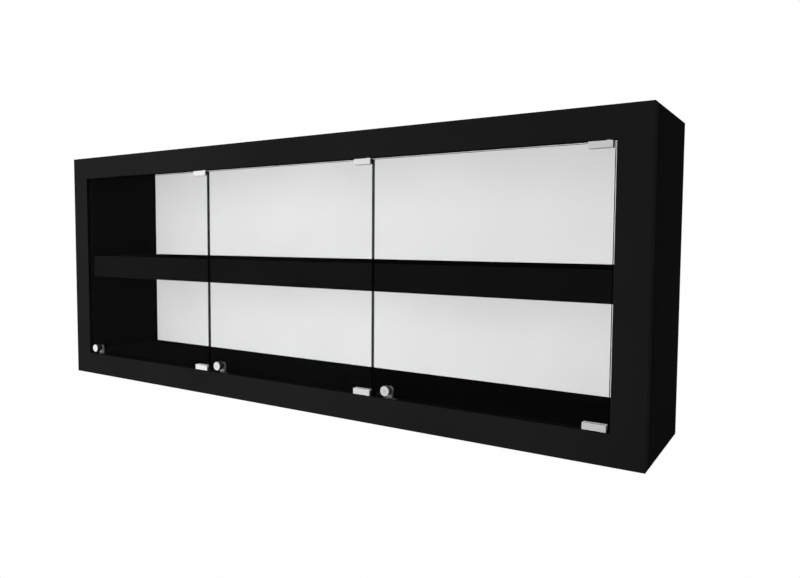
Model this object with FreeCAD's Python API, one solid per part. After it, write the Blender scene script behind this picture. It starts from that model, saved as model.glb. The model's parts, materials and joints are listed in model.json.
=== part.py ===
"""Wall display cabinet: a black box with a flush face frame, a deep shelf, a white back and three glass doors.

Millimetres. +X is to the right, +Y to the back and +Z up, for someone facing the doors.
The origin is the bottom centre of the bounding box, lock knobs included.
Each door swings on two pins near its right edge and has a knob lock near its lower left corner.
"""

import FreeCAD, Part
import math
import os

Vector = FreeCAD.Vector
X_AXIS, Y_AXIS, Z_AXIS = Vector(1, 0, 0), Vector(0, 1, 0), Vector(0, 0, 1)

# Cabinet
WIDTH = 1330.0
HEIGHT = 530.0
DEPTH = 250.0
BOARD = 18.0
FRAME_WIDTH = 50.0
BACK_THICKNESS = 4.0
EDGE_RADIUS = 0.8
SHELF_HEIGHT = 52.0
SHELF_TOP = 290.0
SHELF_SETBACK = 38.0
CLEAT = 18.0

# Doors
DOOR_COUNT = 3
DOOR_NAMES = ("left", "middle", "right")
GLASS = 5.0
GLASS_SETBACK = 1.5
GLASS_ARRIS = 0.4
SIDE_GAP = 2.0
END_GAP = 3.0

# Pivot hinges
PIVOT_INSET = 10.0
PIVOT_SETBACK = 6.0
PIN_RADIUS = 2.5
PIN_FIT = 0.02
PIN_DEPTH = 7.0
PIN_CHAMFER = 0.5
BUSH_RADIUS = 3.5
BUSH_BORE = 2.55
BUSH_DEPTH = 9.0
BUSH_HOLE_SPARE = 0.5
FLANGE_RADIUS = 4.0
FLANGE = 0.8
CLAMP_LENGTH = 35.0
CLAMP_HEIGHT = 10.5
CLAMP_END_INSET = 3.0
CLAMP_BASE = 2.0
CLAMP_FRONT = 2.0
CLAMP_REAR = 3.0
CLAMP_ROUND = 0.5
PAD = 0.5
PAD_MARGIN = 0.5
GRUB_RADIUS = 2.0
GRUB_SPACING = 18.0
GRUB_SOCKET = 1.0
GRUB_SOCKET_DEPTH = 1.6
GRUB_SINK = 0.3

# Knob locks
LOCK_INSET = 32.0
LOCK_HEIGHT = 16.0
KNOB_RADIUS = 9.0
KNOB_PROUD = 10.0
KNOB_CHAMFER = 0.7
KNOB_RIM = 2.2
KNURLS = 36
KNURL_RADIUS = 0.5
SHANK_RADIUS = 4.6
GLASS_HOLE_RADIUS = 5.0
PLUG_RADIUS = 3.4
PLUG_RECESS = 0.1
KEYWAY_WIDTH = 0.9
KEYWAY_HEIGHT = 4.2
KEYWAY_DEPTH = 8.0
WASHER = 0.5
WASHER_RADIUS = 8.2
CASE_HALF_WIDTH = 6.0
CASE_FRONT = 1.0
CASE_WALL = 1.0
CASE_CAVITY = 2.8
CASE_COVER = 1.0
CASE_CLEARANCE = 1.0
CRANK_OFFSET = 2.6
CRANK_RADIUS = 0.75
BOLT_WIDTH = 8.0
BOLT_THICKNESS = 1.5
BOLT_TOP = 3.6
BOLT_CORNER = 1.4
BOLT_REAR_PLAY = 0.2
BOLT_REST_LIFT = 0.3
CRANK_PLAY = 0.15
PLUG_PAST_SHANK = 1.0
PLUG_PLAY = 0.05
BOLT_THROW = math.sqrt(2.0) * CRANK_OFFSET

# Dowels
DOWEL_RADIUS = 4.0
DOWEL_HOLE = 4.05
DOWEL_SHORT = 0.5
DOWEL_CHAMFER = 0.8
SIDE_DOWEL_IN_SIDE = 11.0
SIDE_DOWEL_IN_BOARD = 19.0
FACE_DOWEL_IN_FRONT = 10.0
FACE_DOWEL_IN_BOARD = 20.0
CORNER_DOWEL_REACH = 18.0
DEPTH_DOWEL_FIRST = 32.0
DEPTH_DOWEL_PITCH = 78.0
SHELF_DOWEL_INSET = 40.0
CORNER_DOWEL_INSET = 14.0
NOSING_DOWEL_PITCH = 270.0
RAIL_DOWEL_PITCH = 420.0
STILE_DOWEL_PITCH = 155.0

# Countersunk screws
SCREW_HEAD_RADIUS = 3.3
SCREW_HEAD = 1.8
SCREW_RADIUS = 1.5
SCREW_PLAY = 0.05
SCREW_POINT = 3.0
SCREW_SINK = 0.1
SCREW_CROSS = (3.6, 0.9, 1.1)
SCREW_TURN = 31.0
BACK_SCREW_LENGTH = 18.0
CLEAT_SCREW_LENGTH = 30.0
PLATE_SCREW_LENGTH = 14.0
BACK_SCREW_END = 30.0
BACK_SCREW_COUNTS = (7, 5, 7)
CLEAT_SCREW_END = 25.0

# Fittings
STRIKE_LENGTH = 26.0
STRIKE_WIDTH = 11.0
STRIKE = 1.0
STRIKE_CORNER = 1.5
STRIKE_FIT = 0.05
STRIKE_SCREW_INSET = 4.2
STRIKE_SLOT_PLAY = 0.6
STRIKE_POCKET_PLAY = 1.0
STRIKE_SLOT_DEPTH = 8.0
STOP_LENGTH = 12.0
STOP_WIDTH = 8.0
STOP_HEIGHT = 6.0
STOP_INSET = 11.0
STOP_GAP = 0.3
STOP_ROUND = 1.2
KEYHOLE_PLATE_WIDTH = 14.0
KEYHOLE_PLATE_HEIGHT = 54.0
KEYHOLE_PLATE = 2.0
KEYHOLE_PLATE_CORNER = 2.0
KEYHOLE_PLATE_FIT = 0.05
KEYHOLE_ENTRY = 5.0
KEYHOLE_NECK = 2.6
KEYHOLE_LIFT = 12.0
KEYHOLE_POCKET_RADIUS = 7.0
KEYHOLE_POCKET_DEPTH = 14.0
KEYHOLE_Z = 478.0
PLATE_SCREW_OFFSET = 20.0

# How far a cutting shape runs past the face it cuts through
OVERCUT = 1.0

# Places worked out from the values above
FRONT = KNOB_PROUD - (DEPTH + KNOB_PROUD) / 2
REAR = FRONT + DEPTH
FRAME_REAR = FRONT + BOARD
BACK_FRONT = REAR - BACK_THICKNESS
SIDE_INNER = WIDTH / 2 - BOARD
OPENING_HALF = WIDTH / 2 - FRAME_WIDTH
OPENING_LOW = FRAME_WIDTH
OPENING_HIGH = HEIGHT - FRAME_WIDTH
CEILING = HEIGHT - BOARD
FLOOR_UNDERSIDE = OPENING_LOW - BOARD
SHELF_LOW = SHELF_TOP - SHELF_HEIGHT
SHELF_UNDERSIDE = SHELF_TOP - BOARD
NOSING_FRONT = FRONT + SHELF_SETBACK
NOSING_REAR = NOSING_FRONT + BOARD
DOOR_WIDTH = (2 * OPENING_HALF - (DOOR_COUNT + 1) * SIDE_GAP) / DOOR_COUNT
GLASS_LOW = OPENING_LOW + END_GAP
GLASS_HIGH = OPENING_HIGH - END_GAP
GLASS_FRONT = FRONT + GLASS_SETBACK
GLASS_REAR = GLASS_FRONT + GLASS
PIVOT_Y = FRONT + PIVOT_SETBACK
LOCK_Z = OPENING_LOW + LOCK_HEIGHT
CASE_Y = GLASS_REAR + WASHER
CAVITY_Y = CASE_Y + CASE_FRONT
COVER_Y = CAVITY_Y + CASE_CAVITY
CASE_LOW = OPENING_LOW + CASE_CLEARANCE
PLUG_END = CAVITY_Y + PLUG_PAST_SHANK
BOLT_Y = COVER_Y - BOLT_REAR_PLAY - BOLT_THICKNESS
CRANK_HEIGHT = CRANK_OFFSET * math.sqrt(0.5)


def box(x0, x1, y0, y1, z0, z1):
    return Part.makeBox(x1 - x0, y1 - y0, z1 - z0, Vector(x0, y0, z0))


def rod(radius, start, end):
    """A solid cylinder between two points."""
    path = end - start
    return Part.makeCylinder(radius, path.Length, start, path)


def rod_y(radius, x, z, y0, y1):
    """A cylinder that runs front to back."""
    return rod(radius, Vector(x, y0, z), Vector(x, y1, z))


def rod_z(radius, x, y, z0, z1):
    """An upright cylinder."""
    return rod(radius, Vector(x, y, z0), Vector(x, y, z1))


def edges_where(shape, test):
    """The edges whose every vertex passes the test."""
    return [e for e in shape.Edges if all(test(v.Point) for v in e.Vertexes)]


def near(a, b):
    return abs(a - b) < 1e-6


def on_long_corner(p):
    """True at the four corners of the cabinet's outline seen from the front."""
    return near(abs(p.x), WIDTH / 2) and (near(p.z, 0) or near(p.z, HEIGHT))


def mirrored(shape):
    return shape.mirror(Vector(0, 0, 0), X_AXIS)


def export(name, shapes):
    """Writes one sub-part: a single solid, or a group of separate ones."""
    shapes = shapes if isinstance(shapes, list) else [shapes]
    solids = [s for shape in shapes for s in shape.Solids]
    whole = solids[0] if len(solids) == 1 else Part.makeCompound(solids)
    whole.exportStep(os.path.join("parts", name + ".step"))
    print(f"{name}: {len(solids)} solid(s), {sum(s.Volume for s in solids) / 1000:.1f} cm3")


# Doors: where each one stands


def door_left_edge(index):
    return -OPENING_HALF + SIDE_GAP + index * (DOOR_WIDTH + SIDE_GAP)


def pivot_x(index):
    return door_left_edge(index) + DOOR_WIDTH - PIVOT_INSET


def lock_x(index):
    return door_left_edge(index) + LOCK_INSET


# Dowels: each is (start point, end point), and the same list drills the holes


def across_side(y, z):
    """One dowel between the right-hand side and a board's end."""
    return (Vector(SIDE_INNER - SIDE_DOWEL_IN_BOARD, y, z), Vector(SIDE_INNER + SIDE_DOWEL_IN_SIDE, y, z))


def from_front(x, joint_y, z):
    """One dowel from a front piece into the board behind it."""
    return (Vector(x, joint_y - FACE_DOWEL_IN_FRONT, z), Vector(x, joint_y + FACE_DOWEL_IN_BOARD, z))


def side_dowels():
    """Between the right-hand side and the top, the floor and the rear rail under the floor."""
    rows = [FRAME_REAR + DEPTH_DOWEL_FIRST + DEPTH_DOWEL_PITCH * i for i in range(3)]
    places = [(y, z) for z in (HEIGHT - BOARD / 2, OPENING_LOW - BOARD / 2) for y in rows]
    places.append((BACK_FRONT - CLEAT / 2, FLOOR_UNDERSIDE / 2))
    return [across_side(y, z) for y, z in places]


def shelf_end_dowels():
    """Between the right-hand side and the shelf, nosing included."""
    rows = (NOSING_REAR + SHELF_DOWEL_INSET, BACK_FRONT - SHELF_DOWEL_INSET)
    places = [(y, SHELF_TOP - BOARD / 2) for y in rows]
    places.append((NOSING_FRONT + BOARD / 2, (SHELF_LOW + SHELF_UNDERSIDE) / 2))
    return [across_side(y, z) for y, z in places]


def nosing_dowels():
    return [from_front(NOSING_DOWEL_PITCH * i, NOSING_REAR, SHELF_TOP - BOARD / 2) for i in range(-2, 3)]


def frame_corner_dowels():
    """Between the rails and the right-hand stile."""
    y = FRONT + BOARD / 2
    x0, x1 = OPENING_HALF - CORNER_DOWEL_REACH, OPENING_HALF + CORNER_DOWEL_REACH
    low, high = CORNER_DOWEL_INSET, FRAME_WIDTH - CORNER_DOWEL_INSET
    heights = (low, high, HEIGHT - high, HEIGHT - low)
    return [(Vector(x0, y, z), Vector(x1, y, z)) for z in heights]


def frame_face_dowels():
    """From the back of the face frame into the front edges of the carcass."""
    levels = (HEIGHT - BOARD / 2, OPENING_LOW - BOARD / 2)
    edges = (-(WIDTH - BOARD) / 2, (WIDTH - BOARD) / 2)
    rails = [(RAIL_DOWEL_PITCH * i, z) for z in levels for i in (-1, 0, 1)]
    stiles = [(x, HEIGHT / 2 + STILE_DOWEL_PITCH * i) for x in edges for i in (-1, 0, 1)]
    return [from_front(x, FRAME_REAR, z) for x, z in rails + stiles]


def both_sides(lines):
    return lines + [(Vector(-a.x, a.y, a.z), Vector(-b.x, b.y, b.z)) for a, b in lines]


def drill(shape, lines):
    return shape.cut(Part.makeCompound([rod(DOWEL_HOLE, a, b) for a, b in lines]))


def dowels(lines):
    """The pegs, a little shorter than their holes."""
    made = []
    for a, b in lines:
        along = (b - a).normalize() * DOWEL_SHORT
        pin = rod(DOWEL_RADIUS, a + along, b - along)
        made.append(pin.makeChamfer(DOWEL_CHAMFER, [e for e in pin.Edges if e.Closed]))
    return made


# Screws and where they go: each spot is (place, direction)


def screw(place, direction, length, spin):
    """A countersunk screw whose head is just under the surface at place, driven along direction."""
    head = Part.makeCone(SCREW_HEAD_RADIUS, SCREW_RADIUS, SCREW_HEAD)
    point = Part.makeCone(SCREW_RADIUS, SCREW_RADIUS / 5, SCREW_POINT, Vector(0, 0, length - SCREW_POINT))
    shank = Part.makeCylinder(SCREW_RADIUS, length - SCREW_POINT - SCREW_HEAD, Vector(0, 0, SCREW_HEAD))
    body = head.fuse([shank, point])
    span, width, depth = SCREW_CROSS
    for along, across in ((span, width), (width, span)):
        body = body.cut(Part.makeBox(along, across, depth, Vector(-along / 2, -across / 2, 0)))
    body = body.removeSplitter()
    body.rotate(Vector(0, 0, 0), Z_AXIS, spin)
    body.Placement = FreeCAD.Placement(place + direction * SCREW_SINK,
                                       FreeCAD.Rotation(Z_AXIS, direction)).multiply(body.Placement)
    return body


def screw_hole(place, direction, length):
    """The countersink and pilot hole that a screw fills."""
    top_radius, low_radius = SCREW_HEAD_RADIUS + SCREW_PLAY, SCREW_RADIUS + SCREW_PLAY
    top = Part.makeCylinder(top_radius, SCREW_SINK)
    cone = Part.makeCone(top_radius, low_radius, SCREW_HEAD, Vector(0, 0, SCREW_SINK))
    pilot = Part.makeCylinder(low_radius, length + SCREW_RADIUS, Vector(0, 0, SCREW_SINK))
    hole = top.fuse([cone, pilot])
    hole.Placement = FreeCAD.Placement(place, FreeCAD.Rotation(Z_AXIS, direction))
    return hole


def screws(spots, length):
    """A screw at each spot, its cross turned a little further than the one before."""
    return [screw(place, direction, length, SCREW_TURN * i) for i, (place, direction) in enumerate(spots)]


def drill_screws(shape, spots, length):
    for place, direction in spots:
        shape = shape.cut(screw_hole(place, direction, length))
    return shape


def right_hand(spots):
    return [(place, direction) for place, direction in spots if place.x > 0]


def back_screw_spots():
    """Rows through the back into the top panel, the shelf and the floor panel."""
    reach = SIDE_INNER - BACK_SCREW_END
    spots = []
    for top, count in zip((HEIGHT, SHELF_TOP, OPENING_LOW), BACK_SCREW_COUNTS):
        row = [2 * reach * i / (count - 1) - reach for i in range(count)]
        spots += [(Vector(x, REAR, top - BOARD / 2), -Y_AXIS) for x in row]
    return spots


def cleat_screw_spots():
    """On the inner faces of the two shelf cleats."""
    z = SHELF_UNDERSIDE - CLEAT / 2
    first, last = NOSING_REAR + CLEAT_SCREW_END, BACK_FRONT - CLEAT - CLEAT_SCREW_END
    row = [first, (first + last) / 2, last]
    inner = SIDE_INNER - CLEAT
    return [(Vector(side * inner, y, z), Vector(side, 0, 0)) for side in (-1, 1) for y in row]


def keyhole_screw_spots():
    x = (WIDTH - BOARD) / 2
    return [(Vector(side * x, REAR, KEYHOLE_Z + dz), -Y_AXIS) for side in (-1, 1)
            for dz in (-PLATE_SCREW_OFFSET, PLATE_SCREW_OFFSET)]


def strike_y():
    return BOLT_Y + BOLT_THICKNESS / 2


def strike_screw_spots(level):
    reach = STRIKE_LENGTH / 2 - STRIKE_SCREW_INSET
    row = [lock_x(i) + dx for i in range(DOOR_COUNT) for dx in (-reach, reach)]
    return [(Vector(x, strike_y(), level), -Z_AXIS) for x in row]


# Hollows that fittings need


def bush_holes(level, direction):
    """The bushes' holes, from a rail's face at level into the rail."""
    hole = direction * (BUSH_DEPTH + BUSH_HOLE_SPARE)
    starts = [Vector(pivot_x(i), PIVOT_Y, level) for i in range(DOOR_COUNT)]
    return [rod(BUSH_RADIUS + PIN_FIT, start, start + hole) for start in starts]


def strike_recesses():
    """A shallow seat for each strike plate, and a pocket below it for the bolt."""
    made = []
    for i in range(DOOR_COUNT):
        x, y = lock_x(i), strike_y()
        half, side = STRIKE_LENGTH / 2 + STRIKE_FIT, STRIKE_WIDTH / 2 + STRIKE_FIT
        made.append(box(x - half, x + half, y - side, y + side, OPENING_LOW - STRIKE, OPENING_LOW + OVERCUT))
        half, side = BOLT_WIDTH / 2 + STRIKE_POCKET_PLAY, BOLT_THICKNESS / 2 + STRIKE_POCKET_PLAY
        low = OPENING_LOW - STRIKE_SLOT_DEPTH
        made.append(box(x - half, x + half, y - side, y + side, low, OPENING_LOW))
    return made


def keyhole_outline(radius, neck, y0, y1, x):
    """The keyhole's round entry with its neck rising above it, as one solid."""
    low, high = KEYHOLE_Z - KEYHOLE_LIFT / 2, KEYHOLE_Z + KEYHOLE_LIFT / 2
    entry = rod_y(radius, x, low, y0, y1)
    slot = box(x - neck, x + neck, y0, y1, low, high)
    end = rod_y(neck, x, high, y0, y1)
    return entry.fuse([slot, end]).removeSplitter()


def keyhole_recess(x):
    half = KEYHOLE_PLATE_WIDTH / 2 + KEYHOLE_PLATE_FIT
    tall = KEYHOLE_PLATE_HEIGHT / 2 + KEYHOLE_PLATE_FIT
    let_in = box(x - half, x + half, REAR - KEYHOLE_PLATE, REAR + OVERCUT,
                 KEYHOLE_Z - tall, KEYHOLE_Z + tall)
    radius = KEYHOLE_POCKET_RADIUS
    return let_in.fuse(keyhole_outline(radius, radius, REAR - KEYHOLE_POCKET_DEPTH, REAR, x))


# Carcass and face frame


def face_frame():
    """The whole frame with its front edges eased, ready to be cut into stiles and rails."""
    outer = box(-WIDTH / 2, WIDTH / 2, FRONT, FRAME_REAR, 0, HEIGHT)
    inner = box(-OPENING_HALF, OPENING_HALF, FRONT - OVERCUT, FRAME_REAR + OVERCUT,
                OPENING_LOW, OPENING_HIGH)
    frame = outer.cut(inner)
    front_edges = edges_where(frame, lambda p: near(p.y, FRONT))
    corners = [e for e in edges_where(frame, on_long_corner) if near(e.Length, BOARD)]
    return frame.makeFillet(EDGE_RADIUS, front_edges + corners)


def frame_parts():
    frame = face_frame()
    lines = both_sides(frame_corner_dowels()) + frame_face_dowels()
    far = WIDTH
    cutters = {
        "left_stile": box(-far, -OPENING_HALF, -far, far, -far, far),
        "right_stile": box(OPENING_HALF, far, -far, far, -far, far),
        "top_rail": box(-OPENING_HALF, OPENING_HALF, -far, far, HEIGHT / 2, far),
        "bottom_rail": box(-OPENING_HALF, OPENING_HALF, -far, far, -far, HEIGHT / 2),
    }
    parts = {name: drill(frame.common(cutter), lines) for name, cutter in cutters.items()}
    parts["top_rail"] = parts["top_rail"].cut(bush_holes(OPENING_HIGH, Z_AXIS))
    bottom = parts["bottom_rail"].cut(bush_holes(OPENING_LOW, -Z_AXIS) + strike_recesses())
    under_plates = strike_screw_spots(OPENING_LOW - STRIKE)
    parts["bottom_rail"] = drill_screws(bottom, under_plates, PLATE_SCREW_LENGTH)
    return parts


def carcass_block():
    """The outside of the carcass, with its four long edges eased."""
    block = box(-WIDTH / 2, WIDTH / 2, FRAME_REAR, REAR, 0, HEIGHT)
    corners = [e for e in edges_where(block, on_long_corner) if near(e.Length, REAR - FRAME_REAR)]
    return block.makeFillet(EDGE_RADIUS, corners)


def right_side_panel():
    panel = carcass_block().common(box(SIDE_INNER, WIDTH, -WIDTH, WIDTH, -WIDTH, WIDTH))
    panel = drill(panel, side_dowels() + shelf_end_dowels() + frame_face_dowels())
    panel = panel.cut(keyhole_recess((WIDTH - BOARD) / 2))
    panel = drill_screws(panel, right_hand(keyhole_screw_spots()), PLATE_SCREW_LENGTH)
    return drill_screws(panel, right_hand(cleat_screw_spots()), CLEAT_SCREW_LENGTH)


def cross_board(low, high, y0=FRAME_REAR, y1=BACK_FRONT):
    """A board between the two sides."""
    return box(-SIDE_INNER, SIDE_INNER, y0, y1, low, high)


def drill_for_back(board):
    return drill_screws(board, back_screw_spots(), BACK_SCREW_LENGTH)


def top_panel():
    board = cross_board(CEILING, HEIGHT)
    return drill_for_back(drill(board, both_sides(side_dowels()) + frame_face_dowels()))


def floor_panel():
    board = cross_board(FLOOR_UNDERSIDE, OPENING_LOW)
    return drill_for_back(drill(board, both_sides(side_dowels()) + frame_face_dowels()))


def lower_back_rail():
    rail = cross_board(0, FLOOR_UNDERSIDE, BACK_FRONT - CLEAT, BACK_FRONT)
    return drill(rail, both_sides(side_dowels()))


def back_panel():
    return drill_for_back(cross_board(0, HEIGHT, BACK_FRONT, REAR))


# Shelf


def shelf_board():
    board = cross_board(SHELF_UNDERSIDE, SHELF_TOP, NOSING_REAR, BACK_FRONT)
    return drill_for_back(drill(board, both_sides(shelf_end_dowels()) + nosing_dowels()))


def shelf_nosing():
    nosing = cross_board(SHELF_LOW, SHELF_TOP, NOSING_FRONT, NOSING_REAR)
    long_edges = edges_where(nosing, lambda p: near(p.y, NOSING_FRONT))
    nosing = nosing.makeFillet(EDGE_RADIUS, [e for e in long_edges if e.Length > WIDTH / 2])
    return drill(nosing, both_sides(shelf_end_dowels()) + nosing_dowels())


def shelf_side_cleats():
    cleat = box(SIDE_INNER - CLEAT, SIDE_INNER, NOSING_REAR, BACK_FRONT - CLEAT,
                SHELF_UNDERSIDE - CLEAT, SHELF_UNDERSIDE)
    cleat = drill_screws(cleat, right_hand(cleat_screw_spots()), CLEAT_SCREW_LENGTH)
    return [mirrored(cleat), cleat]


def shelf_rear_cleat():
    return cross_board(SHELF_UNDERSIDE - CLEAT, SHELF_UNDERSIDE, BACK_FRONT - CLEAT, BACK_FRONT)


# Fittings on the cabinet


def keyhole_plates():
    x = (WIDTH - BOARD) / 2
    half, tall = KEYHOLE_PLATE_WIDTH / 2, KEYHOLE_PLATE_HEIGHT / 2
    plate = box(x - half, x + half, REAR - KEYHOLE_PLATE, REAR, KEYHOLE_Z - tall, KEYHOLE_Z + tall)
    corners = [e for e in plate.Edges if near(e.Length, KEYHOLE_PLATE)]
    plate = plate.makeFillet(KEYHOLE_PLATE_CORNER, corners)
    y0, y1 = REAR - KEYHOLE_PLATE - OVERCUT, REAR + OVERCUT
    plate = plate.cut(keyhole_outline(KEYHOLE_ENTRY, KEYHOLE_NECK, y0, y1, x))
    plate = drill_screws(plate, right_hand(keyhole_screw_spots()), PLATE_SCREW_LENGTH)
    return [mirrored(plate), plate]


def pivot_bushes():
    """Flanged nylon bushes in the rails, two to a door."""
    made = []
    for i in range(DOOR_COUNT):
        for level, out in ((OPENING_LOW, 1), (OPENING_HIGH, -1)):
            face = Vector(pivot_x(i), PIVOT_Y, level)
            flange_end = face + Z_AXIS * out * FLANGE
            sleeve_end = face - Z_AXIS * out * BUSH_DEPTH
            flange = rod(FLANGE_RADIUS, face, flange_end)
            bush = flange.fuse(rod(BUSH_RADIUS, face, sleeve_end)).removeSplitter()
            made.append(bush.cut(rod(BUSH_BORE, sleeve_end, flange_end)))
    return made


def strike_plates():
    made = []
    for i in range(DOOR_COUNT):
        x, y = lock_x(i), strike_y()
        half, side = STRIKE_LENGTH / 2, STRIKE_WIDTH / 2
        plate = box(x - half, x + half, y - side, y + side, OPENING_LOW - STRIKE, OPENING_LOW)
        plate = plate.makeFillet(STRIKE_CORNER, [e for e in plate.Edges if near(e.Length, STRIKE)])
        slot_half, slot_side = BOLT_WIDTH / 2 + STRIKE_SLOT_PLAY, BOLT_THICKNESS / 2 + STRIKE_SLOT_PLAY
        plate = plate.cut(box(x - slot_half, x + slot_half, y - slot_side, y + slot_side, 0, HEIGHT))
        made.append(drill_screws(plate, strike_screw_spots(OPENING_LOW), PLATE_SCREW_LENGTH))
    return made


def door_stops():
    """Rubber blocks on the bottom rail, just behind the free corner of each door."""
    made = []
    for i in range(DOOR_COUNT):
        x, y, half = door_left_edge(i) + STOP_INSET, GLASS_REAR + STOP_GAP, STOP_LENGTH / 2
        high = OPENING_LOW + STOP_HEIGHT
        stop = box(x - half, x + half, y, y + STOP_WIDTH, OPENING_LOW, high)
        top_edges = edges_where(stop, lambda p: near(p.z, high))
        made.append(stop.makeFillet(STOP_ROUND, top_edges))
    return made


# Doors


def door_glass(index):
    x0 = door_left_edge(index)
    pane = box(x0, x0 + DOOR_WIDTH, GLASS_FRONT, GLASS_REAR, GLASS_LOW, GLASS_HIGH)
    pane = pane.makeChamfer(GLASS_ARRIS, pane.Edges)
    return pane.cut(rod_y(GLASS_HOLE_RADIUS, lock_x(index), LOCK_Z, FRONT, CASE_Y))


def clamp_span(index):
    right = door_left_edge(index) + DOOR_WIDTH - CLAMP_END_INSET
    return right - CLAMP_LENGTH, right


def flipped(shape):
    """The same fitting at the other end of the door."""
    return shape.mirror(Vector(0, 0, HEIGHT / 2), Z_AXIS)


def clamp_y():
    """Outer faces of the clamp, front and rear."""
    return GLASS_FRONT - PAD - CLAMP_FRONT, GLASS_REAR + PAD + CLAMP_REAR


def grub_places(index):
    x0, x1 = clamp_span(index)
    middle, z = (x0 + x1) / 2, GLASS_LOW + (CLAMP_HEIGHT - CLAMP_BASE) / 2
    return [(middle + dx, z) for dx in (-GRUB_SPACING / 2, GRUB_SPACING / 2)]


def bottom_hinge_clamp(index):
    """A channel that grips the lower edge of the glass, with the pivot pin in its base."""
    x0, x1 = clamp_span(index)
    y0, y1 = clamp_y()
    low = GLASS_LOW - CLAMP_BASE
    channel = box(x0, x1, y0, y1, low, low + CLAMP_HEIGHT)
    outer = [e for e in channel.Edges if near(e.Length, CLAMP_LENGTH)]
    uprights = [e for e in channel.Edges if near(e.Length, CLAMP_HEIGHT)]
    channel = channel.makeFillet(CLAMP_ROUND, outer + uprights)
    slot = box(x0 - OVERCUT, x1 + OVERCUT, GLASS_FRONT - PAD, GLASS_REAR + PAD, GLASS_LOW, HEIGHT)
    pin_hole = rod_z(PIN_RADIUS, pivot_x(index), PIVOT_Y, low - OVERCUT, GLASS_LOW + OVERCUT)
    grub_holes = [rod_y(GRUB_RADIUS, x, z, GLASS_REAR, y1 + OVERCUT) for x, z in grub_places(index)]
    return channel.cut([slot, pin_hole] + grub_holes)


def hinge_pins(index):
    low = OPENING_LOW - PIN_DEPTH
    pin = rod_z(PIN_RADIUS - PIN_FIT, pivot_x(index), PIVOT_Y, low, GLASS_LOW)
    tip = [e for e in pin.Edges if e.Closed and near(e.BoundBox.ZMax, low)]
    pin = pin.makeChamfer(PIN_CHAMFER, tip)
    return [pin, flipped(pin)]


def hinge_pads(index):
    """Soft liners between the clamps and the glass, front and rear."""
    x0, x1 = clamp_span(index)
    top = GLASS_LOW - CLAMP_BASE + CLAMP_HEIGHT
    made = []
    for y in (GLASS_FRONT - PAD, GLASS_REAR):
        pad = box(x0 + PAD_MARGIN, x1 - PAD_MARGIN, y, y + PAD, GLASS_LOW + PAD_MARGIN, top - PAD_MARGIN)
        made += [pad, flipped(pad)]
    return made


def hinge_screws(index):
    """Grub screws through the rear of each clamp, with hexagon sockets."""
    made = []
    y0, y1 = GLASS_REAR + PAD, clamp_y()[1] - GRUB_SINK
    for x, z in grub_places(index):
        grub = rod_y(GRUB_RADIUS - PIN_FIT, x, z, y0, y1)
        spoke = Vector(GRUB_SOCKET, 0, 0)
        corners = [Vector(x, y1 - GRUB_SOCKET_DEPTH, z) + FreeCAD.Rotation(Y_AXIS, a) * spoke
                   for a in range(0, 361, 60)]
        grub = grub.cut(Part.Face(Part.makePolygon(corners)).extrude(Y_AXIS * 2 * GRUB_SOCKET_DEPTH))
        made += [grub, flipped(grub)]
    return made


# Locks


def knurl_grooves(x, y0, y1):
    """Round grooves along the knob's side, evenly spaced."""
    made = []
    for i in range(KNURLS):
        turn = 2 * math.pi * i / KNURLS
        dx, dz = KNOB_RADIUS * math.cos(turn), KNOB_RADIUS * math.sin(turn)
        made.append(rod_y(KNURL_RADIUS, x + dx, LOCK_Z + dz, y0, y1))
    return made


def lock_barrel(index):
    """The knob, its threaded shank through the glass and the bore that the plug turns in."""
    x = lock_x(index)
    nose, seat = FRONT - KNOB_PROUD, GLASS_FRONT - WASHER
    knob = rod_y(KNOB_RADIUS, x, LOCK_Z, nose, seat)
    front_rim = [e for e in knob.Edges if e.Closed and near(e.BoundBox.YMax, nose)]
    knob = knob.makeChamfer(KNOB_CHAMFER, front_rim).cut(knurl_grooves(x, nose + KNOB_RIM, seat + OVERCUT))
    barrel = knob.fuse(rod_y(SHANK_RADIUS, x, LOCK_Z, seat, CAVITY_Y)).removeSplitter()
    return barrel.cut(rod_y(PLUG_RADIUS + PLUG_PLAY, x, LOCK_Z, nose - OVERCUT, CAVITY_Y + OVERCUT))


def lock_washers(index):
    """Soft rings that keep the metal off the glass, front and rear."""
    x = lock_x(index)
    discs = [rod_y(WASHER_RADIUS, x, LOCK_Z, GLASS_FRONT - WASHER, GLASS_FRONT)]
    discs.append(rod_y(CASE_HALF_WIDTH, x, LOCK_Z, GLASS_REAR, CASE_Y))
    hole = rod_y(GLASS_HOLE_RADIUS, x, LOCK_Z, FRONT, CAVITY_Y)
    return [disc.cut(hole) for disc in discs]


def arch(x, half_width, low, y0, y1):
    """An upright plate with a round top centred on the lock."""
    upright = box(x - half_width, x + half_width, y0, y1, low, LOCK_Z)
    return upright.fuse(rod_y(half_width, x, LOCK_Z, y0, y1)).removeSplitter()


def lock_case(index):
    """The housing behind the glass that the bolt slides in, open below and at the back."""
    x = lock_x(index)
    case = arch(x, CASE_HALF_WIDTH, CASE_LOW, CASE_Y, COVER_Y)
    cavity = arch(x, CASE_HALF_WIDTH - CASE_WALL, CASE_LOW - OVERCUT, CAVITY_Y, COVER_Y + OVERCUT)
    return case.cut([cavity, rod_y(SHANK_RADIUS + PLUG_PLAY, x, LOCK_Z, GLASS_REAR, COVER_Y)])


def lock_cover(index):
    return arch(lock_x(index), CASE_HALF_WIDTH, CASE_LOW, COVER_Y, COVER_Y + CASE_COVER)


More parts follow.
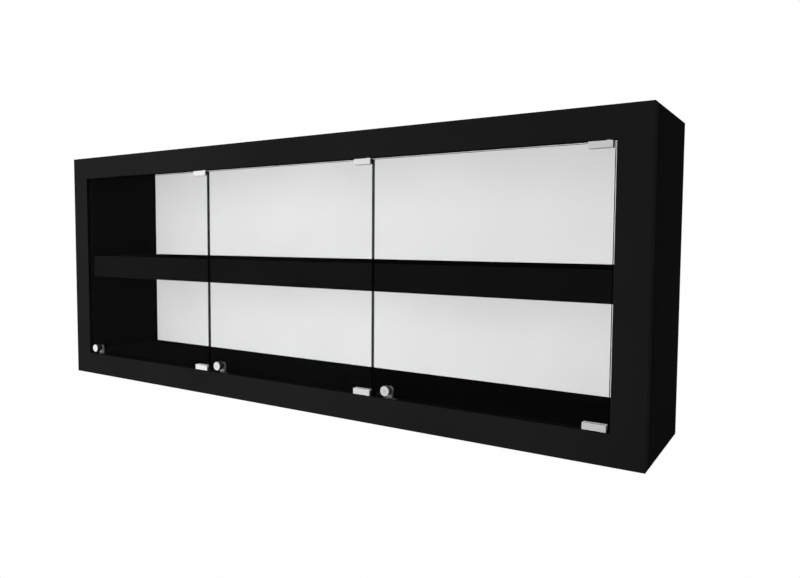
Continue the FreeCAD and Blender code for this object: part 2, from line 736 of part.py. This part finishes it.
def lock_plug(index):
    """The keyed plug, with a crank pin on its inner end that starts up and to the right."""
    x = lock_x(index)
    face = FRONT - KNOB_PROUD + PLUG_RECESS
    plug = rod_y(PLUG_RADIUS, x, LOCK_Z, face, PLUG_END)
    pin = rod_y(CRANK_RADIUS, x + CRANK_HEIGHT, LOCK_Z + CRANK_HEIGHT, PLUG_END, COVER_Y - BOLT_REAR_PLAY)
    keyway = box(x - KEYWAY_WIDTH / 2, x + KEYWAY_WIDTH / 2, face - OVERCUT, face + KEYWAY_DEPTH,
                 LOCK_Z - KEYWAY_HEIGHT / 2, LOCK_Z + KEYWAY_HEIGHT / 2)
    return plug.fuse(pin).cut(keyway)


def lock_bolt(index):
    """The flat bolt. Its cross slot follows the crank pin down when the plug turns a quarter turn."""
    x = lock_x(index)
    half = BOLT_WIDTH / 2
    low, high = CASE_LOW + BOLT_REST_LIFT, LOCK_Z + BOLT_TOP
    bolt = box(x - half, x + half, BOLT_Y, BOLT_Y + BOLT_THICKNESS, low, high)
    top_edges = edges_where(bolt, lambda p: near(p.z, high))
    bolt = bolt.makeFillet(BOLT_CORNER, [e for e in top_edges if near(e.Length, BOLT_THICKNESS)])
    play = CRANK_RADIUS + CRANK_PLAY
    level = LOCK_Z + CRANK_HEIGHT
    near_end, far_end = x + CRANK_HEIGHT - play - CRANK_PLAY, x + CRANK_OFFSET + play
    return bolt.cut(box(near_end, far_end, CAVITY_Y, COVER_Y, level - play, level + play))


def main():
    os.makedirs("parts", exist_ok=True)
    parts = frame_parts()
    side = right_side_panel()
    parts["right_side_panel"] = side
    parts["left_side_panel"] = mirrored(side)
    parts["top_panel"] = top_panel()
    parts["floor_panel"] = floor_panel()
    parts["lower_back_rail"] = lower_back_rail()
    parts["back_panel"] = back_panel()
    parts["shelf_board"] = shelf_board()
    parts["shelf_nosing"] = shelf_nosing()
    parts["shelf_side_cleats"] = shelf_side_cleats()
    parts["shelf_rear_cleat"] = shelf_rear_cleat()
    parts["carcass_dowels"] = dowels(both_sides(side_dowels()))
    parts["shelf_dowels"] = dowels(both_sides(shelf_end_dowels()) + nosing_dowels())
    parts["frame_dowels"] = dowels(both_sides(frame_corner_dowels()) + frame_face_dowels())
    parts["back_panel_screws"] = screws(back_screw_spots(), BACK_SCREW_LENGTH)
    parts["cleat_screws"] = screws(cleat_screw_spots(), CLEAT_SCREW_LENGTH)
    plate_screw_spots = keyhole_screw_spots() + strike_screw_spots(OPENING_LOW)
    parts["plate_screws"] = screws(plate_screw_spots, PLATE_SCREW_LENGTH)
    parts["keyhole_plates"] = keyhole_plates()
    parts["pivot_bushes"] = pivot_bushes()
    parts["strike_plates"] = strike_plates()
    parts["door_stops"] = door_stops()
    for index, door in enumerate(DOOR_NAMES):
        clamp = bottom_hinge_clamp(index)
        parts[f"{door}_door_glass"] = door_glass(index)
        parts[f"{door}_bottom_hinge"] = clamp
        parts[f"{door}_top_hinge"] = flipped(clamp)
        parts[f"{door}_hinge_pins"] = hinge_pins(index)
        parts[f"{door}_hinge_pads"] = hinge_pads(index)
        parts[f"{door}_hinge_screws"] = hinge_screws(index)
        parts[f"{door}_lock_barrel"] = lock_barrel(index)
        parts[f"{door}_lock_washers"] = lock_washers(index)
        parts[f"{door}_lock_case"] = lock_case(index)
        parts[f"{door}_lock_cover"] = lock_cover(index)
        parts[f"{door}_lock_plug"] = lock_plug(index)
        parts[f"{door}_lock_bolt"] = lock_bolt(index)
    for name, shapes in parts.items():
        export(name, shapes)
    print(f"{len(parts)} sub-parts; bolt throw {BOLT_THROW:.3f} mm; door width {DOOR_WIDTH:.3f} mm")


main()
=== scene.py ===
"""Looks for the wall display cabinet: materials, lights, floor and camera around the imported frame.

Metres and degrees. The doors face -Y, and +X is to the right of someone who faces them.
"""

import json
import math

import bpy
from mathutils import Euler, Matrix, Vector


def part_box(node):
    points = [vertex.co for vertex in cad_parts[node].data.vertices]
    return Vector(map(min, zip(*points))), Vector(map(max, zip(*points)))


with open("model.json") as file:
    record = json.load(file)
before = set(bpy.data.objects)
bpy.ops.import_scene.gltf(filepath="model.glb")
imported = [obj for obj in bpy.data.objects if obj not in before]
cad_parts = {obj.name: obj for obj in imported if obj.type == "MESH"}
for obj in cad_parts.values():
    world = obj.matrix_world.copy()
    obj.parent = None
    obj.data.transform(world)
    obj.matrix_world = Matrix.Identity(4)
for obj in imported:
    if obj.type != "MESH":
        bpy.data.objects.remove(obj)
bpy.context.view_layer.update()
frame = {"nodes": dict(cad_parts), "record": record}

# Landmarks, in metres, from the frame

stile_low, stile_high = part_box("left_stile")
FRONT = stile_low.y
HEIGHT = stile_high.z
MIDDLE = Vector((0.0, FRONT, HEIGHT / 2))
LEFT_END = Vector((stile_low.x, FRONT, HEIGHT / 2))
DOORS = ("left", "middle", "right")

# Camera: a little above the cabinet's middle and off its right-hand end, looking along the doors

CAMERA_RIGHT = 0.8617
CAMERA_OUT = 1.0725
CAMERA_UP = 0.3421
CAMERA_YAW = 35.575
CAMERA_PITCH = -3.536
LENS = 31.55
SENSOR = 36.0
SHIFT = (0.0976, -0.0131)
VIEW_LIMIT = 200.0

# Stage: a floor below the cabinet, and a dome whose light grows from just over the horizon

FLOOR_DROP = 1.25
FLOOR_SIZE = 60.0
BACKDROP = 1.0
DOME_LOW = 0.05
DOME_HIGH = 0.50
DOME_RISE_FROM = 0.05
DOME_RISE_TO = 0.7

# Materials

NOISE_LOW, NOISE_HIGH = 0.3, 0.7
GRAZING_POWER = 7.0
GRAZING_SHARE = 0.6
# Share of a glass edge drawn as near-black painted shade rather than seen through
EDGE_PAINTED_SHADE_SHARE = 0.88
# Near-black painted on the knobs' knurled sides as painted shade
KNURL_PAINTED_SHADE = (0.030, 0.030, 0.031)
BLACK_SWING = 0.18
CLOUD_SHARE = 0.6
SHEENLESS = 0.0
DULL = 0.1

# Stretches for marks that run along an axis, around the knobs' axis, or nowhere in particular
ALONG_X, ALONG_Z = (0.04, 1, 1), (1, 1, 0.04)
TURNED = (0.6, 1, 0.6)
UNBRUSHED = (1, 1, 1)


# Node graphs


class Graph:
    """A material's node tree, with short ways to add and join nodes."""

    def __init__(self, name):
        self.material = bpy.data.materials.new(name)
        self.material.use_nodes = True
        self.tree = self.material.node_tree
        self.tree.nodes.clear()
        self.output = self.tree.nodes.new("ShaderNodeOutputMaterial")
        self.coords = self.tree.nodes.new("ShaderNodeTexCoord")

    def node(self, kind, inputs=None, **settings):
        made = self.tree.nodes.new("ShaderNode" + kind)
        for key, value in settings.items():
            setattr(made, key, value)
        for key, value in (inputs or {}).items():
            self.feed(made.inputs[key], value)
        return made

    def feed(self, socket, value):
        if isinstance(value, bpy.types.NodeSocket):
            self.tree.links.new(value, socket)
        elif isinstance(value, (int, float)) or len(value) == len(socket.default_value):
            socket.default_value = value
        else:
            socket.default_value = (*value, 1.0)

    def stretched(self, stretch):
        """Object coordinates, in metres, scaled along each axis."""
        return self.node("Mapping", {"Vector": self.coords.outputs["Object"], "Scale": stretch}).outputs[0]

    def noise(self, size, detail=3.0, roughness=0.55, stretch=(1, 1, 1)):
        """Noise from 0 to 1 whose features are about size metres across."""
        where = self.stretched([s / size for s in stretch])
        settings = {"Vector": where, "Scale": 1.0, "Detail": detail, "Roughness": roughness}
        return self.node("TexNoise", settings).outputs["Fac"]

    def math(self, operation, a, b=0.0):
        made = self.node("Math", operation=operation)
        self.feed(made.inputs[0], a)
        self.feed(made.inputs[1], b)
        return made.outputs[0]

    def span(self, value, from_low, from_high, low, high):
        """value carried from one range to another, and held inside it."""
        made = self.node("MapRange", {"Value": value, "From Min": from_low, "From Max": from_high,
                                      "To Min": low, "To Max": high})
        return made.outputs["Result"]

    def spread(self, noise, low, high):
        """The range that a noise mostly keeps to, carried to low and high."""
        return self.span(noise, NOISE_LOW, NOISE_HIGH, low, high)

    def blend(self, amount, a, b):
        """A colour between a and b."""
        made = self.node("Mix", data_type="RGBA")
        self.feed(made.inputs["Factor"], amount)
        self.feed(made.inputs["A"], a)
        self.feed(made.inputs["B"], b)
        return made.outputs["Result"]

    def mottled(self, noise, a, b):
        """A colour that a noise takes from a to b."""
        return self.blend(self.spread(noise, 0.0, 1.0), a, b)

    def bump(self, height, depth, under=None):
        """A bump of depth metres, over another one if given."""
        made = self.node("Bump", {"Height": height, "Distance": depth, "Strength": 1.0})
        if under is not None:
            self.feed(made.inputs["Normal"], under)
        return made.outputs["Normal"]

    def facing_part(self, axis):
        """How far the surface faces along an axis of the part, 0 to 1, whichever way."""
        split = self.node("SeparateXYZ", {"Vector": self.coords.outputs["Normal"]})
        return self.math("ABSOLUTE", split.outputs[axis])

    def principled(self, **inputs):
        named = {key.replace("_", " "): value for key, value in inputs.items()}
        return self.node("BsdfPrincipled", named).outputs[0]

    def mix(self, share, first, second):
        """A shader that is second by its share, and first for the rest."""
        return self.node("MixShader", {0: share, 1: first, 2: second}).outputs[0]

    def finish(self, shader):
        self.tree.links.new(shader, self.output.inputs["Surface"])
        return self.material


# Materials


def matt_black(name, colour):
    """Black faced board: a fine pebbled skin with slow, faint changes of tone, and no sheen."""
    g = Graph(name)
    cloud = g.noise(0.35, 2.0)
    grain = g.noise(0.0016, 2.0, 0.5)
    speck = g.noise(0.006, 4.0, 0.7)
    tone = g.math("ADD", g.math("MULTIPLY", cloud, CLOUD_SHARE), g.math("MULTIPLY", speck, 1 - CLOUD_SHARE))
    dark = [c * (1 - BLACK_SWING) for c in colour]
    light = [c * (1 + BLACK_SWING) for c in colour]
    shade = g.mottled(tone, dark, light)
    rough = g.spread(speck, 0.52, 0.64)
    normal = g.bump(grain, 0.00002, g.bump(speck, 0.00003))
    shader = g.principled(Base_Color=shade, Roughness=rough, Normal=normal, Specular_IOR_Level=SHEENLESS)
    return g.finish(shader)


def white_board():
    """White painted hardboard, very slightly dimpled by the roller."""
    g = Graph("white_board")
    cloud = g.noise(0.25, 2.0)
    dimple = g.noise(0.0025, 2.0, 0.5)
    shade = g.mottled(cloud, (0.80, 0.80, 0.805), (0.85, 0.85, 0.85))
    rough = g.spread(dimple, 0.42, 0.55)
    normal = g.bump(dimple, 0.00003)
    shader = g.principled(Base_Color=shade, Roughness=rough, Normal=normal, Specular_IOR_Level=0.3)
    return g.finish(shader)


def beech():
    """Raw beech with its grain along the peg and short dark flecks."""
    g = Graph("beech")
    grain = g.noise(0.0012, 4.0, 0.6, (0.08, 1, 1))
    fleck = g.noise(0.0007, 1.0, 0.5, (0.3, 1, 1))
    wood = g.blend(g.span(grain, 0.35, 0.65, 0.0, 1.0), (0.52, 0.34, 0.19), (0.68, 0.48, 0.29))
    shade = g.blend(g.span(fleck, 0.66, 0.72, 0.0, 0.6), wood, (0.33, 0.18, 0.09))
    shader = g.principled(Base_Color=shade, Roughness=0.65, Normal=g.bump(grain, 0.00005))
    return g.finish(shader)


def metal(name, colour, roughness, brushed, worn, metallic=1.0):
    """Plated metal with fine marks along brushed, a stretch that is small along the brushing."""
    g = Graph(name)
    stroke = g.noise(0.0006, 3.0, 0.6, brushed)
    smudge = g.noise(0.012, 3.0)
    dark = [c * (1 - worn) for c in colour]
    shade = g.mottled(stroke, dark, colour)
    rough = g.math("ADD", g.spread(stroke, -0.04, 0.04), g.spread(smudge, roughness, roughness + 0.07))
    normal = g.bump(stroke, 0.000006)
    shader = g.principled(Base_Color=shade, Metallic=metallic, Roughness=rough, Normal=normal)
    return g.finish(shader)


def knob_nickel():
    """Satin nickel on the knob's flat ends; its knurled side is painted near-black as painted shade."""
    g = Graph("polished_nickel")
    turning = g.noise(0.0005, 3.0, 0.6, TURNED)
    smudge = g.noise(0.010, 3.0)
    bright = g.mottled(turning, (0.77, 0.77, 0.765), (0.83, 0.83, 0.82))
    is_end = g.span(g.facing_part("Y"), 0.60, 0.75, 0.0, 1.0)
    # Painted shade: the knob's side is drawn near-black, and its flat ends stay nickel
    shade = g.blend(is_end, KNURL_PAINTED_SHADE, bright)
    rough = g.spread(smudge, 0.34, 0.42)
    shader = g.principled(Base_Color=shade, Metallic=0.4, Roughness=rough, Normal=g.bump(turning, 0.000006))
    return g.finish(shader)


def black_steel():
    """Chemically blackened steel, faintly blotched."""
    g = Graph("black_steel")
    blotch = g.noise(0.004, 4.0, 0.6)
    shade = g.mottled(blotch, (0.004, 0.004, 0.004), (0.009, 0.009, 0.010))
    rough = g.spread(blotch, 0.42, 0.55)
    normal = g.bump(blotch, 0.00001)
    shader = g.principled(Base_Color=shade, Roughness=rough, Normal=normal, Specular_IOR_Level=DULL)
    return g.finish(shader)


def black_rubber():
    """Moulded black rubber with a fine matt skin."""
    g = Graph("black_rubber")
    skin = g.noise(0.0008, 3.0, 0.6)
    shade = g.mottled(skin, (0.004, 0.004, 0.004), (0.008, 0.008, 0.008))
    rough = g.spread(skin, 0.65, 0.8)
    normal = g.bump(skin, 0.00003)
    shader = g.principled(Base_Color=shade, Roughness=rough, Normal=normal, Specular_IOR_Level=DULL)
    return g.finish(shader)


def nylon():
    """White moulded nylon, faintly mottled."""
    g = Graph("white_nylon")
    mottle = g.noise(0.002, 3.0)
    shade = g.blend(mottle, (0.70, 0.70, 0.67), (0.80, 0.80, 0.77))
    rough = g.spread(mottle, 0.38, 0.5)
    shader = g.principled(Base_Color=shade, Roughness=rough, Normal=g.bump(mottle, 0.00002),
                          Subsurface_Weight=0.1, Subsurface_Scale=0.001)
    return g.finish(shader)


def see_through(g, tint, mirror, roughness):
    """A clear skin: what is behind it, tinted, and a reflection that grows towards grazing angles."""
    facing = g.node("LayerWeight", {"Blend": 0.5}).outputs["Facing"]
    grazing = g.math("POWER", facing, GRAZING_POWER)
    share = g.math("ADD", g.math("MULTIPLY", grazing, GRAZING_SHARE), mirror)
    clear = g.node("BsdfTransparent", {"Color": tint}).outputs[0]
    gloss = g.node("BsdfAnisotropic", {"Color": (1, 1, 1), "Roughness": roughness}).outputs[0]
    return g.mix(share, clear, gloss)


def clear_glass():
    """Clear float glass. Its ground edges are frosted, and drawn darker, near-black, as painted shade over
    a grey-green see-through tint.
    """
    g = Graph("clear_glass")
    haze = g.noise(0.09, 4.0, 0.6)
    tint = g.blend(haze, (0.976, 0.977, 0.977), (0.986, 0.987, 0.987))
    pane = see_through(g, tint, mirror=0.0008, roughness=g.span(haze, 0.4, 0.8, 0.0, 0.06))
    grind = g.noise(0.0012, 2.0, 0.6, (1, 0.2, 1))
    # Painted shade: the ground edges are drawn near-black; the grey-green tint seen through them is the
    # glass's own
    shade = g.mottled(grind, (0.006, 0.008, 0.0075), (0.012, 0.015, 0.014))
    rough = g.spread(grind, 0.25, 0.4)
    normal = g.bump(grind, 0.00003)
    ground = g.principled(Base_Color=shade, Roughness=rough, Normal=normal, Specular_IOR_Level=SHEENLESS)
    through = g.node("BsdfTransparent", {"Color": (0.55, 0.60, 0.58)}).outputs[0]
    is_face = g.span(g.facing_part("Y"), 0.80, 0.95, 0.0, 1.0)
    return g.finish(g.mix(is_face, g.mix(EDGE_PAINTED_SHADE_SHARE, through, ground), pane))


def clear_plastic():
    """Clear soft vinyl with a faint milky cloud."""
    g = Graph("clear_plastic")
    cloud = g.noise(0.004, 3.0)
    skin = see_through(g, (0.90, 0.91, 0.91), mirror=0.03, roughness=g.spread(cloud, 0.12, 0.3))
    milk = g.principled(Base_Color=(0.75, 0.76, 0.76), Roughness=0.4, Normal=g.bump(cloud, 0.00004))
    return g.finish(g.mix(g.spread(cloud, 0.10, 0.22), skin, milk))


METALS = ("satin_nickel", "polished_nickel", "lock_brass", "plated_steel", "zinc_screw", "pin_steel")

FINISHES = {
    "black_frame": matt_black("black_frame", (0.0109, 0.0109, 0.0111)),
    "black_board": matt_black("black_board", (0.0056, 0.0056, 0.0057)),
    "white_board": white_board(),
    "beech": beech(),
    "zinc_screw": metal("zinc_screw", (0.62, 0.62, 0.63), 0.28, UNBRUSHED, worn=0.15),
    "plated_steel": metal("plated_steel", (0.42, 0.42, 0.43), 0.36, ALONG_Z, worn=0.12, metallic=0.45),
    "pin_steel": metal("pin_steel", (0.60, 0.60, 0.61), 0.22, ALONG_Z, worn=0.10),
    "satin_nickel": metal("satin_nickel", (0.90, 0.90, 0.90), 0.40, ALONG_X, worn=0.06, metallic=0.4),
    "polished_nickel": knob_nickel(),
    "lock_brass": metal("lock_brass", (0.79, 0.79, 0.775), 0.36, TURNED, worn=0.05, metallic=0.4),
    "black_steel": black_steel(),
    "black_rubber": black_rubber(),
    "white_nylon": nylon(),
    "clear_plastic": clear_plastic(),
    "clear_glass": clear_glass(),
}

for part in frame["record"]["subparts"]:
    slots = frame["nodes"][part["node"]].data.materials
    slots.clear()
    slots.append(FINISHES[part["material_slot"]])


# Stage


def make_floor():
    """A wide, plain white floor well below the cabinet, which hangs at eye level."""
    g = Graph("floor")
    grain = g.noise(0.02, 3.0)
    tone = g.blend(grain, (0.985, 0.985, 0.985), (1, 1, 1))
    glow = g.node("Emission", {"Color": tone, "Strength": BACKDROP})
    half = FLOOR_SIZE / 2
    corners = [(-half, -half, -FLOOR_DROP), (half, -half, -FLOOR_DROP),
               (half, half, -FLOOR_DROP), (-half, half, -FLOOR_DROP)]
    mesh = bpy.data.meshes.new("floor")
    mesh.from_pydata(corners, [], [(0, 1, 2, 3)])
    mesh.materials.append(g.finish(glow.outputs[0]))
    floor = bpy.data.objects.new("floor", mesh)
    floor.visible_diffuse = False
    floor.visible_glossy = False
    bpy.context.scene.collection.objects.link(floor)


def make_world():
    """White to look at, with a soft dome of light that is brighter overhead."""
    world = bpy.data.worlds.new("studio")
    bpy.context.scene.world = world
    world.use_nodes = True
    nodes, links = world.node_tree.nodes, world.node_tree.links
    nodes.clear()
    path = nodes.new("ShaderNodeLightPath")
    seen = nodes.new("ShaderNodeMath")
    seen.operation = "MAXIMUM"
    links.new(path.outputs["Is Camera Ray"], seen.inputs[0])
    links.new(path.outputs["Is Transmission Ray"], seen.inputs[1])
    coords = nodes.new("ShaderNodeTexCoord")
    split = nodes.new("ShaderNodeSeparateXYZ")
    links.new(coords.outputs["Generated"], split.inputs[0])
    rise = nodes.new("ShaderNodeMapRange")
    rise.interpolation_type = "SMOOTHSTEP"
    ends = {"From Min": DOME_RISE_FROM, "From Max": DOME_RISE_TO, "To Min": DOME_LOW, "To Max": DOME_HIGH}
    for end, value in ends.items():
        rise.inputs[end].default_value = value
    links.new(split.outputs["Z"], rise.inputs["Value"])
    dome = nodes.new("ShaderNodeBackground")
    links.new(rise.outputs[0], dome.inputs["Strength"])
    white = nodes.new("ShaderNodeBackground")
    white.inputs["Strength"].default_value = BACKDROP
    for background in (dome, white):
        background.inputs["Color"].default_value = (1, 1, 1, 1)
    mix = nodes.new("ShaderNodeMixShader")
    links.new(seen.outputs[0], mix.inputs[0])
    links.new(dome.outputs[0], mix.inputs[1])
    links.new(white.outputs[0], mix.inputs[2])
    output = nodes.new("ShaderNodeOutputWorld")
    links.new(mix.outputs[0], output.inputs["Surface"])


def softbox(name, place, size, power, lights=None, shaded_by=None, mirrored=True):
    """A soft light aimed at MIDDLE. lights and shaded_by limit what it falls on and what stops it."""
    lamp = bpy.data.lights.new(name, "AREA")
    lamp.shape = "RECTANGLE"
    lamp.size, lamp.size_y = size
    lamp.energy = power
    made = bpy.data.objects.new(name, lamp)
    made.location = place
    made.rotation_euler = (MIDDLE - place).to_track_quat("-Z", "Y").to_euler()
    made.visible_camera = False
    made.visible_glossy = mirrored
    bpy.context.scene.collection.objects.link(made)
    if lights is not None:
        made.light_linking.receiver_collection = group(name + "_lights", lights)
    if shaded_by is not None:
        made.light_linking.blocker_collection = group(name + "_shaded_by", shaded_by)


def group(name, objects):
    made = bpy.data.collections.new(name)
    for piece in objects:
        made.objects.link(piece)
    return made


def toward(target, azimuth, elevation, distance):
    """A point at a distance from target. Azimuth 0 is straight out from the doors, positive to the left."""
    a, e = math.radians(azimuth), math.radians(elevation)
    return target + distance * Vector((-math.sin(a) * math.cos(e), -math.cos(a) * math.cos(e), math.sin(e)))


def make_lights():
    """A low key on the front and an even light on the white back, both from the doors' side.

    Softer lights come from the right-hand side and from behind, and two more fall on the metal alone.
    """
    nodes = frame["nodes"]
    glass = {f"{door}_door_glass" for door in DOORS}
    back = [nodes["back_panel"]]
    dark = [nodes[name] for name in nodes if name not in glass and name != "back_panel"]
    metal = [piece for piece in nodes.values() if piece.active_material.name in METALS]
    floor = [bpy.data.objects["floor"]]
    all_but_left_stile = [piece for piece in dark if piece != nodes["left_stile"]]
    above = Vector((0.0, FRONT + 0.15, HEIGHT + 1.6))
    past_right_end = Vector((2.4, 0.5, HEIGHT / 2 + 0.4))
    behind = Vector((-0.9, 2.6, HEIGHT + 1.2))
    softbox("key", toward(LEFT_END, azimuth=4, elevation=3, distance=2.1),
            size=(0.9, 0.7), power=58, lights=dark, shaded_by=all_but_left_stile, mirrored=False)
    softbox("back_key", toward(MIDDLE, azimuth=3, elevation=6, distance=2.0),
            size=(1.6, 1.0), power=44, lights=back, shaded_by=floor, mirrored=False)
    softbox("back_fill", toward(MIDDLE, azimuth=3, elevation=12, distance=2.0),
            size=(1.6, 1.0), power=8, lights=back, shaded_by=dark, mirrored=False)
    softbox("top", above, size=(1.1, 0.5), power=12, lights=metal)
    softbox("side", past_right_end, size=(1.2, 1.0), power=23)
    softbox("rear", behind, size=(2.6, 1.6), power=55)
    softbox("metal", toward(LEFT_END, azimuth=35, elevation=-5, distance=1.9),
            size=(1.8, 1.2), power=5.6, lights=metal)


def make_camera():
    data = bpy.data.cameras.new("camera")
    data.lens = LENS
    data.sensor_width = SENSOR
    data.shift_x, data.shift_y = SHIFT
    data.clip_end = VIEW_LIMIT
    camera = bpy.data.objects.new("camera", data)
    camera.location = (CAMERA_RIGHT, FRONT - CAMERA_OUT, CAMERA_UP)
    camera.rotation_euler = Euler((math.radians(90 + CAMERA_PITCH), 0.0, math.radians(CAMERA_YAW)))
    bpy.context.scene.collection.objects.link(camera)
    bpy.context.scene.camera = camera


make_floor()
make_world()
make_lights()
make_camera()
bpy.context.scene.view_settings.view_transform = "Standard"
